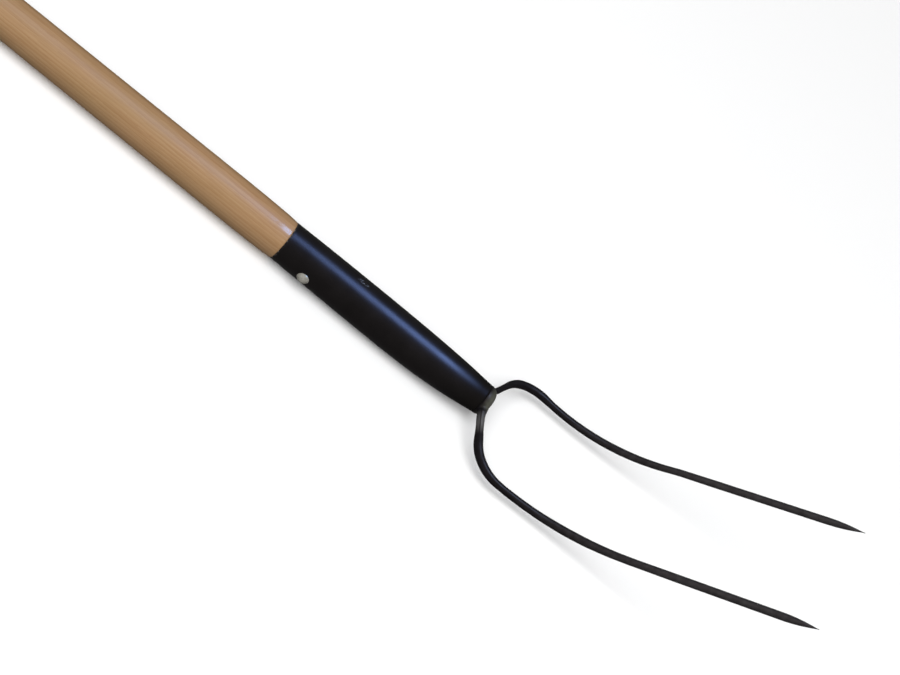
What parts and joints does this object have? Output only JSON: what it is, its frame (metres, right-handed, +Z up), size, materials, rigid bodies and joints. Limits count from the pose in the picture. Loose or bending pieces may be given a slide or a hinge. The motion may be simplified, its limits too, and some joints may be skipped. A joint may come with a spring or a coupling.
{
  "type": "hay fork",
  "caption": "Long-handled hay fork: a round ash stick in a painted steel socket, with slender bowed tines that curve up to sharp points.",
  "frame": {"origin": "middle of the bounding box in X and Y, on the floor under the lying fork", "axes": "+X along the handle towards the points, +Y to the user's left, +Z up, towards the side that the points curve to"},
  "size_m": [1.8616, 0.1367, 0.1109],
  "materials": {
    "ash_wood": "satin lacquer over straight-grained ash",
    "black_paint": "semi-gloss black paint on rolled steel",
    "dark_forged_steel": "satin black over forged steel, worn lighter at the points",
    "rivet_steel": "bare hammered steel"
  },
  "bodies": {
    "root": {"handle": "ash_wood", "socket": "black_paint", "crown": "dark_forged_steel", "left_tine": "dark_forged_steel", "right_tine": "dark_forged_steel", "rivet": "rivet_steel"}
  },
  "joints": []
}
